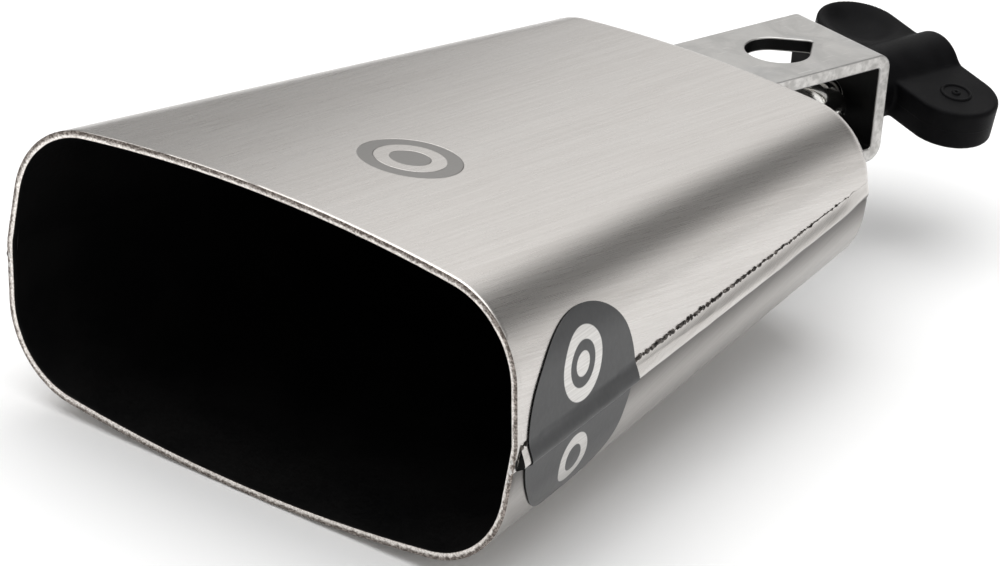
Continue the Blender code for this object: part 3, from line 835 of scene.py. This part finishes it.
def lump(name, centre, size, seed, material, frame_matrix, *nodes):
    """A lump of weld metal: a fine ball pulled out of round and made uneven."""
    ball = bmesh.new()
    bmesh.ops.create_icosphere(ball, subdivisions=5, radius=1)
    ball.verts.index_update()
    points = []
    for vert in ball.verts:
        way = vert.co.normalized()
        swell = 1 + 0.16 * ripple(way.x * 1.7 + seed, way.y * 1.7, way.z * 1.7)
        swell += 0.05 * ripple(way.x * 6 + seed, way.y * 6, way.z * 6)
        points.append([centre[i] + way[i] * size[i] * swell for i in range(3)])
    faces = [[vert.index for vert in face.verts] for face in ball.faces]
    ball.free()
    obj = new_object(name, points, faces, frame_matrix, (material,), smooth=180)
    stands_for(obj, "bell", "weld_steel", *nodes)


def seam_welds():
    for side, name, seed in ((1, "near", 11.0), (-1, "far", 37.0)):
        seam_bead(f"seam_bead_{name}", side, f"seam_weld_{name}", seed)
        for i, (along, length) in enumerate(RIM_TACKS):
            x, z = skin_point(section_at(0.0), along, -SHEET / 2)
            centre, size = (side * x, TACK_PLACE, z), (TACK_WIDTH, TACK_DEPTH, length)
            lump(f"rim_tack_{name}_{i}", centre, size, seed + i, SHEARED, BELL_FRAME)


# Side badge ------------------------------------------------


def film_rise(y, along):
    """The film bridges the crease and the lip's edge, and hugs the ridge elsewhere."""
    offsets = spread(-BRIDGE_REACH, BRIDGE_REACH, 15)
    highest = max(ridge_rise(y, along + o) - BRIDGE_SLOPE * abs(o) for o in offsets)
    return BADGE_LIFT + max(highest, 0.0)


def side_badge():
    """A round film over the seam: rows run along the bell inside its circle."""
    rows, columns, last = 150, 64, radians(88.5)
    points, uvs = [], []
    for turn in spread(-last, last, rows + 1):
        along = BADGE_MIDDLE[1] + BADGE_RADIUS * sin(turn)
        for round_turn in spread(0, pi, columns + 1):
            offset = -BADGE_RADIUS * cos(turn) * cos(round_turn)
            y = BADGE_MIDDLE[0] + offset
            x, z = skin_point(section_at(y), along, film_rise(y, along))
            points.append((x, y, z))
            uvs.append((offset, along - BADGE_MIDDLE[1]))
    faces = grid_faces(rows + 1, columns + 1)
    film = new_object("badge_film_disc", points, faces, BELL_FRAME, (FILM,), uvs=uvs, smooth=60)
    if sum(face.normal.x * face.area for face in film.data.polygons) < 0:
        film.data.flip_normals()
    thicken = film.modifiers.new("Film", "SOLIDIFY")
    thicken.thickness, thicken.offset = BADGE_FILM, 1
    apply_modifiers(film)
    stands_for(film, "bell", "badge_film", "side_badge")


# Bracket ---------------------------------------------------


def hole_outline():
    half_angle = asin(HOLE_RADIUS / (HOLE_TIP - HOLE_CENTRE))
    tip = HOLE_TIP - TIP_RADIUS / sin(half_angle)
    round_end = arc((0, HOLE_CENTRE), HOLE_RADIUS, pi - half_angle, 2 * pi + half_angle, 56)
    return round_end + arc((0, tip), TIP_RADIUS, half_angle, pi - half_angle, 8)


def cutter(name, outline, reach, place, slots=(PAINTED_SHADE,)):
    """A closed prism of an outline in XY, from -reach to reach in Z, which only serves to cut; its material,
    painted shade unless other slots are given, passes to the faces it cuts.
    """
    count = len(outline)
    points = [(x, y, z) for z in (-reach, reach) for x, y in outline]
    faces = [(i, (i + 1) % count, (i + 1) % count + count, i + count) for i in range(count)]
    faces += [tuple(range(count)), tuple(range(count, 2 * count))]
    obj = new_object(name, points, faces, place, slots)
    obj.hide_render = True
    return obj


def bracket_cutters():
    """The rod hole through both flanges, the bolt hole in the web, and the end wall that trims the roots."""
    circle = arc((0, 0), WEB_HOLE_RADIUS, 0, 2 * pi * 47 / 48, 47)
    web = CLAMP_FRAME @ Matrix.Translation((0, WEB_FACE, 0)) @ Matrix.Rotation(pi / 2, 4, "X")
    front, back = shell_high.y + WALL_GAP, shell_high.y + WALL_GAP - TRIM_DEPTH
    wall = [(-CUTTER_REACH, back), (CUTTER_REACH, back), (CUTTER_REACH, front), (-CUTTER_REACH, front)]
    return (
        # The holes' walls take painted shade from these tools.
        cutter("rod_hole_tool", hole_outline(), CUTTER_REACH, CLAMP_FRAME),
        cutter("web_hole_tool", circle, 2 * PLATE, web),
        cutter("wall_trim_tool", wall, CUTTER_REACH, Matrix.Identity(4), ()),
    )


def bracket_profile(offset=0.0):
    """The bent plate's line in YZ, moved in from its outer face by `offset`."""
    bend = (WEB_FACE - BEND_RADIUS, HALF_HEIGHT - BEND_RADIUS)
    root = (-WALL_TO_SEAT - ROOT_OVERLAP, HALF_HEIGHT - offset)
    upper = [root] + arc(bend, BEND_RADIUS - offset, pi / 2, 0, 12)
    return upper + [(y, -z) for y, z in reversed(upper)]


def mount_bracket():
    """A bent C of plate whose roots are trimmed to the end wall, with two rod holes and a bolt hole."""
    outer, inner = bracket_profile(), bracket_profile(PLATE)
    loop = outer + list(reversed(inner))
    half, count = len(outer), len(loop)
    points = [(x, y, z + RAISE) for x in (-HALF_WIDTH, HALF_WIDTH) for y, z in loop]
    faces = [(i, (i + 1) % count, (i + 1) % count + count, i + count) for i in range(count)]
    # Painted shade: the plate's inner faces take the INSIDE slot.
    face_slots = [OUTSIDE] * (half - 1) + [CUT] + [INSIDE] * (half - 1) + [CUT]
    for side in (0, count):
        faces += [tuple(side + k for k in (i, i + 1, count - 2 - i, count - 1 - i)) for i in range(half - 1)]
    face_slots += [CUT] * (len(faces) - count)
    slots = (PLATE_STEEL, SHEARED, PAINTED_SHADE)
    bracket = new_object("bent_bracket", points, faces, CLAMP_FRAME, slots, face_slots, smooth=32)
    tools = bracket_cutters()
    for tool in tools:
        cut = bracket.modifiers.new(tool.name, "BOOLEAN")
        cut.object, cut.operation, cut.material_mode = tool, "DIFFERENCE", "TRANSFER"
    edges = bracket.modifiers.new("Edges", "BEVEL")
    edges.width, edges.segments, edges.material = SHEARED_EDGE, 3, OUTSIDE
    edges.limit_method, edges.angle_limit = "ANGLE", radians(50)
    weighted = bracket.modifiers.new("Normals", "WEIGHTED_NORMAL")
    weighted.keep_sharp, weighted.weight = True, 90
    apply_modifiers(bracket)
    for tool in tools:
        bpy.data.objects.remove(tool)
    stands_for(bracket, "bell", "bracket_steel", "mount_bracket")


def bracket_welds():
    """A lump in each corner between a flange's side and the end wall, where the CAD node is."""
    for i, (level, side) in enumerate((a, b) for a in ("top", "bottom") for b in ("near", "far")):
        node = f"bracket_weld_{level}_{side}"
        low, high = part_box(node)
        middle, size = (low + high) / 2, (high - low) / 2
        inward = -LUMP_INWARD if side == "near" else LUMP_INWARD
        centre = (middle.x + inward, middle.y - LUMP_BACK, middle.z)
        lump(f"root_bead_{level}_{side}", centre, size, 3.0 * i, LUMP, Matrix.Identity(4), node)


# Eye bolt --------------------------------------------------


def turned(name, profile, frame_matrix, material, steps=96):
    """A closed profile of (radius, height) turned about Z."""
    angles = spread(0, 2 * pi * (steps - 1) / steps, steps)
    points = [(radius * cos(a), radius * sin(a), height) for radius, height in profile for a in angles]
    faces = grid_faces(len(profile) + 1, steps, wrap=True)
    faces = [tuple(i % len(points) for i in face) for face in faces]
    return new_object(name, points, faces, frame_matrix, (material,))


def eye_ring():
    high, outer, inner = EYE_THICKNESS / 2 - EYE_EDGE, EYE_OUTER - EYE_EDGE, EYE_INNER + EYE_EDGE
    profile = []
    for i, corner in enumerate(((outer, high), (outer, -high), (inner, -high), (inner, high))):
        profile += arc(corner, EYE_EDGE, (1 - i) * pi / 2, -i * pi / 2, 8)
    place = CLAMP_FRAME @ Matrix.Translation((0, EYE_CENTRE, 0))
    stands_for(turned("eye_ring", profile, place, PLATED), "eye_bolt", "plated_steel", "eye_bolt")


def threaded_shank():
    """The shank's surface dips by the thread's depth along a helix, with a plain neck by the eye."""
    start, neck = EYE_CENTRE + (EYE_INNER + EYE_OUTER) / 2, EYE_CENTRE + EYE_OUTER + NECK_GAP
    around, per_pitch = 48, 12
    points = []
    heights = spread(start, SHANK_END, int((SHANK_END - start) / PITCH * per_pitch))
    for height in heights:
        depth = THREAD_DEPTH * smooth_step((height - neck) / THREAD_RUN_IN)
        chamfer = 0.8 * max(0.0, height - SHANK_END + TIP_CHAMFER)
        for i in range(around):
            phase = (height / PITCH - i / around) % 1.0
            radius = SHANK_RADIUS - depth * smooth_step(1 - abs(2 * phase - 1) * 1.15) - chamfer
            turn = 2 * pi * i / around
            points.append((radius * cos(turn), radius * sin(turn), height))
    faces = grid_faces(len(heights), around, wrap=True)
    faces += [tuple(range(around)), tuple(range(len(points) - around, len(points)))]
    place = CLAMP_FRAME @ Matrix.Rotation(-pi / 2, 4, "X")
    shank = new_object("threaded_shank", points, faces, place, (PLATED,), smooth=50)
    stands_for(shank, "eye_bolt", "plated_steel")


# Wing nut --------------------------------------------------


def smooth_union(a, b, blend):
    share = np.clip(0.5 + 0.5 * (b - a) / blend, 0, 1)
    return b + (a - b) * share - blend * share * (1 - share)


def rounded(q0, q1, edge):
    outside = np.hypot(np.maximum(q0, 0), np.maximum(q1, 0))
    return np.minimum(np.maximum(q0, q1), 0) + outside - edge


def nut_distance(p):
    """Signed distance to the wing nut: a hub, two lobes blended into it, a dish in each, and the bore."""
    x, y, z = p.T
    reach = np.hypot(x, y)
    inner_radius, inner_half = HUB_RADIUS - HUB_EDGE, HUB_LENGTH / 2 - HUB_EDGE
    hub = rounded(reach - inner_radius, abs(z - HUB_LENGTH / 2) - inner_half, HUB_EDGE)
    outline = np.hypot(np.maximum(abs(x) - LOBE_PLACE, 0), z - LOBE_HEIGHT) - (WING_HALF_WIDTH - WING_EDGE)
    lobe = rounded(outline, abs(y) - (WING_THICKNESS / 2 - WING_EDGE), WING_EDGE)
    body = smooth_union(hub, lobe, WING_BLEND)
    ball = (DISH_RADIUS**2 + DISH_DEPTH**2) / (2 * DISH_DEPTH)
    away = WING_THICKNESS / 2 + ball - DISH_DEPTH
    for end in (1, -1):
        centre = np.array((end * (LOBE_PLACE + DISH_SHIFT), end * away, LOBE_HEIGHT))
        dish = np.linalg.norm(p - centre, axis=1) - ball
        body = -smooth_union(-body, dish, DISH_BLEND)
    bore = np.maximum(reach - HUB_BORE, -z)
    pocket = np.maximum(reach - POCKET_RADIUS, z - POCKET_DEPTH)
    return np.maximum(body, -np.minimum(bore, pocket))


def marching_cage(voxel):
    """A closed quad mesh round the nut: the faces between inside and outside cells of a grid."""
    low = np.array((-WING_HALF_SPAN, -HUB_RADIUS, 0.0)) - 2 * voxel
    high = np.array((WING_HALF_SPAN, HUB_RADIUS, HUB_LENGTH)) + 2 * voxel
    counts = np.ceil((high - low) / voxel).astype(int)
    axes = [low[i] + (np.arange(counts[i]) + 0.5) * voxel for i in range(3)]
    cells = np.stack(np.meshgrid(*axes, indexing="ij"), -1).reshape(-1, 3)
    inside = (nut_distance(cells) < 0).reshape(counts)
    corners = counts + 1
    index = -np.ones(corners, int)
    points, faces = [], []

    def corner(i, j, k):
        if index[i, j, k] < 0:
            index[i, j, k] = len(points)
            points.append(low + np.array((i, j, k)) * voxel)
        return int(index[i, j, k])

    for axis in range(3):
        step = np.eye(3, dtype=int)[axis]
        across, up = np.eye(3, dtype=int)[(axis + 1) % 3], np.eye(3, dtype=int)[(axis + 2) % 3]
        ahead = np.roll(inside, -1, axis)
        for cell in np.argwhere(inside != ahead):
            base = cell + step
            quad = [corner(*c) for c in (base, base + across, base + across + up, base + up)]
            faces.append(tuple(quad if inside[tuple(cell)] else reversed(quad)))
    return np.array(points), faces


def settle(points, faces, rounds=26, last_rounds=6, step=0.00002):
    """Evens out the cage's points and lays them on the nut's surface; the last rounds only do the second."""
    ends = np.array([(f[i], f[(i + 1) % 4]) for f in faces for i in range(4)])
    count = np.bincount(ends[:, 0], minlength=len(points)) + np.bincount(ends[:, 1], minlength=len(points))
    for turn in range(rounds):
        if turn < rounds - last_rounds:
            total = np.zeros_like(points)
            np.add.at(total, ends[:, 0], points[ends[:, 1]])
            np.add.at(total, ends[:, 1], points[ends[:, 0]])
            points = 0.4 * points + 0.6 * total / count[:, None]
        rises = [nut_distance(points + way) - nut_distance(points - way) for way in step * np.eye(3)]
        gradient = np.stack(rises, -1) / (2 * step)
        size = np.maximum((gradient**2).sum(1), 0.05)
        points = points - 0.9 * (nut_distance(points) / size)[:, None] * gradient
    return points


def wing_mark(place):
    """A plain raised ring and dot on the flat face of the near lobe."""
    lobe = Matrix.Translation((LOBE_PLACE + MARK_SHIFT, -WING_THICKNESS / 2, LOBE_HEIGHT))
    half, foot = MARK_HALF_WIDTH, -0.0006
    for name, radius in MARK_RADII.items():
        top = arc((radius, MARK_HEIGHT - half), half, pi, 0, 8)
        profile = [(radius - half, foot)] + top + [(radius + half, foot)]
        mark = turned(name, profile, place @ lobe @ Matrix.Rotation(pi / 2, 4, "X"), MOULDED, steps=64)
        stands_for(mark, "wing_nut", "black_plastic")


def wing_nut():
    points, faces = marching_cage(0.00045)
    place = CLAMP_FRAME @ Matrix.Translation((0, WEB_FACE + SEAT_GAP, 0))
    place = place @ Matrix.Rotation(-pi / 2, 4, "X") @ Matrix.Rotation(WING_ROLL, 4, "Z")
    nut = new_object("moulded_wing_nut", settle(points, faces), faces, place, (MOULDED,), smooth=60)
    stands_for(nut, "wing_nut", "black_plastic", "wing_nut")
    wing_mark(place)
    insert = frame["nodes"]["wing_nut_insert"]
    insert.data.materials.clear()
    insert.data.materials.append(BRASS)


# Stage -----------------------------------------------------


def floor():
    n = Surface("pale_floor", 0.0)
    n.shader.inputs["Base Color"].default_value = (0.92, 0.92, 0.92, 1.0)
    n.shader.inputs["Roughness"].default_value = 0.6
    n.shader.inputs["Specular IOR Level"].default_value = 0.1
    reach, z = FLOOR_REACH, cad_low.z - FLOOR_GAP
    corners = [(-reach, -reach, z), (reach, -reach, z), (reach, reach, z), (-reach, reach, z)]
    sheet = new_object("floor", corners, [(0, 1, 2, 3)], Matrix.Identity(4), (n.material,))
    if sheet.data.polygons[0].normal.z < 0:
        sheet.data.flip_normals()


def bearing_ramp(n, bearing, levels):
    """Brightness by bearing, in degrees from +Y towards +X."""
    ramp = n.add("ShaderNodeValToRGB")
    ramp.color_ramp.interpolation = "EASE"
    n.link(bearing, ramp.inputs["Fac"])
    elements = ramp.color_ramp.elements
    while len(elements) > 1:
        elements.remove(elements[-1])
    for i, (bearing_degrees, level) in enumerate(levels):
        position = bearing_degrees / 360 + 0.5
        element = elements.new(position) if i else elements[0]
        element.position = position
        element.color = (level, level * 0.995, level * 0.985, 1)
    return ramp.outputs["Color"]


def sky():
    """A studio's dome: pale and dark stretches near the horizon and above it, under an even ceiling."""
    world = bpy.data.worlds.new("studio")
    bpy.context.scene.world = world
    world.use_nodes = True
    n = Nodes(world.node_tree)
    way = n.split(n.add("ShaderNodeTexCoord").outputs["Generated"])
    bearing = n.math("ADD", n.math("DIVIDE", n.math("ARCTAN2", way["X"], way["Y"]), 2 * pi), 0.5)
    low = bearing_ramp(n, bearing, HORIZON)
    screens = n.blend(n.ramp(way["Z"], *HORIZON_BLEND), low, bearing_ramp(n, bearing, SCREENS))
    colour = n.blend(n.ramp(way["Z"], *CEILING_BLEND), screens, CEILING)
    n.link(colour, n.tree.nodes["Background"].inputs["Color"])


def overhead_light():
    """One large softbox above the bell."""
    light = bpy.data.lights.new("overhead", "AREA")
    light.size, light.energy = OVERHEAD_SIZE, OVERHEAD_POWER
    place = MOUTH_MIDDLE + Vector((0, LENGTH / 2, 0)) + OVERHEAD_OFFSET
    aim = (-OVERHEAD_OFFSET).to_track_quat("-Z", "Y").to_matrix().to_4x4()
    placed("overhead", light, Matrix.Translation(place) @ aim)


def camera():
    a, e, r = VIEW_AZIMUTH, VIEW_ELEVATION, VIEW_ROLL
    right = Vector((cos(a), sin(a), 0))
    ahead = Vector((-sin(a) * cos(e), cos(a) * cos(e), -sin(e)))
    up = right.cross(ahead)
    rolled_right, rolled_up = right * cos(r) + up * sin(r), up * cos(r) - right * sin(r)
    axes = Matrix((rolled_right, rolled_up, -ahead)).transposed()
    place = MOUTH_MIDDLE - axes @ Vector(VIEW_OFFSET)
    data = bpy.data.cameras.new("camera")
    data.lens, data.sensor_width = FOCAL_LENGTH, SENSOR
    data.shift_x, data.shift_y = SHIFT
    data.clip_start, data.clip_end = 0.01, 20
    bpy.context.scene.camera = placed("camera", data, Matrix.Translation(place) @ axes.to_4x4())


half_shells()
seam_welds()
side_badge()
mount_bracket()
bracket_welds()
eye_ring()
threaded_shank()
wing_nut()
floor()
sky()
overhead_light()
camera()
bpy.context.scene.view_settings.view_transform = "Standard"
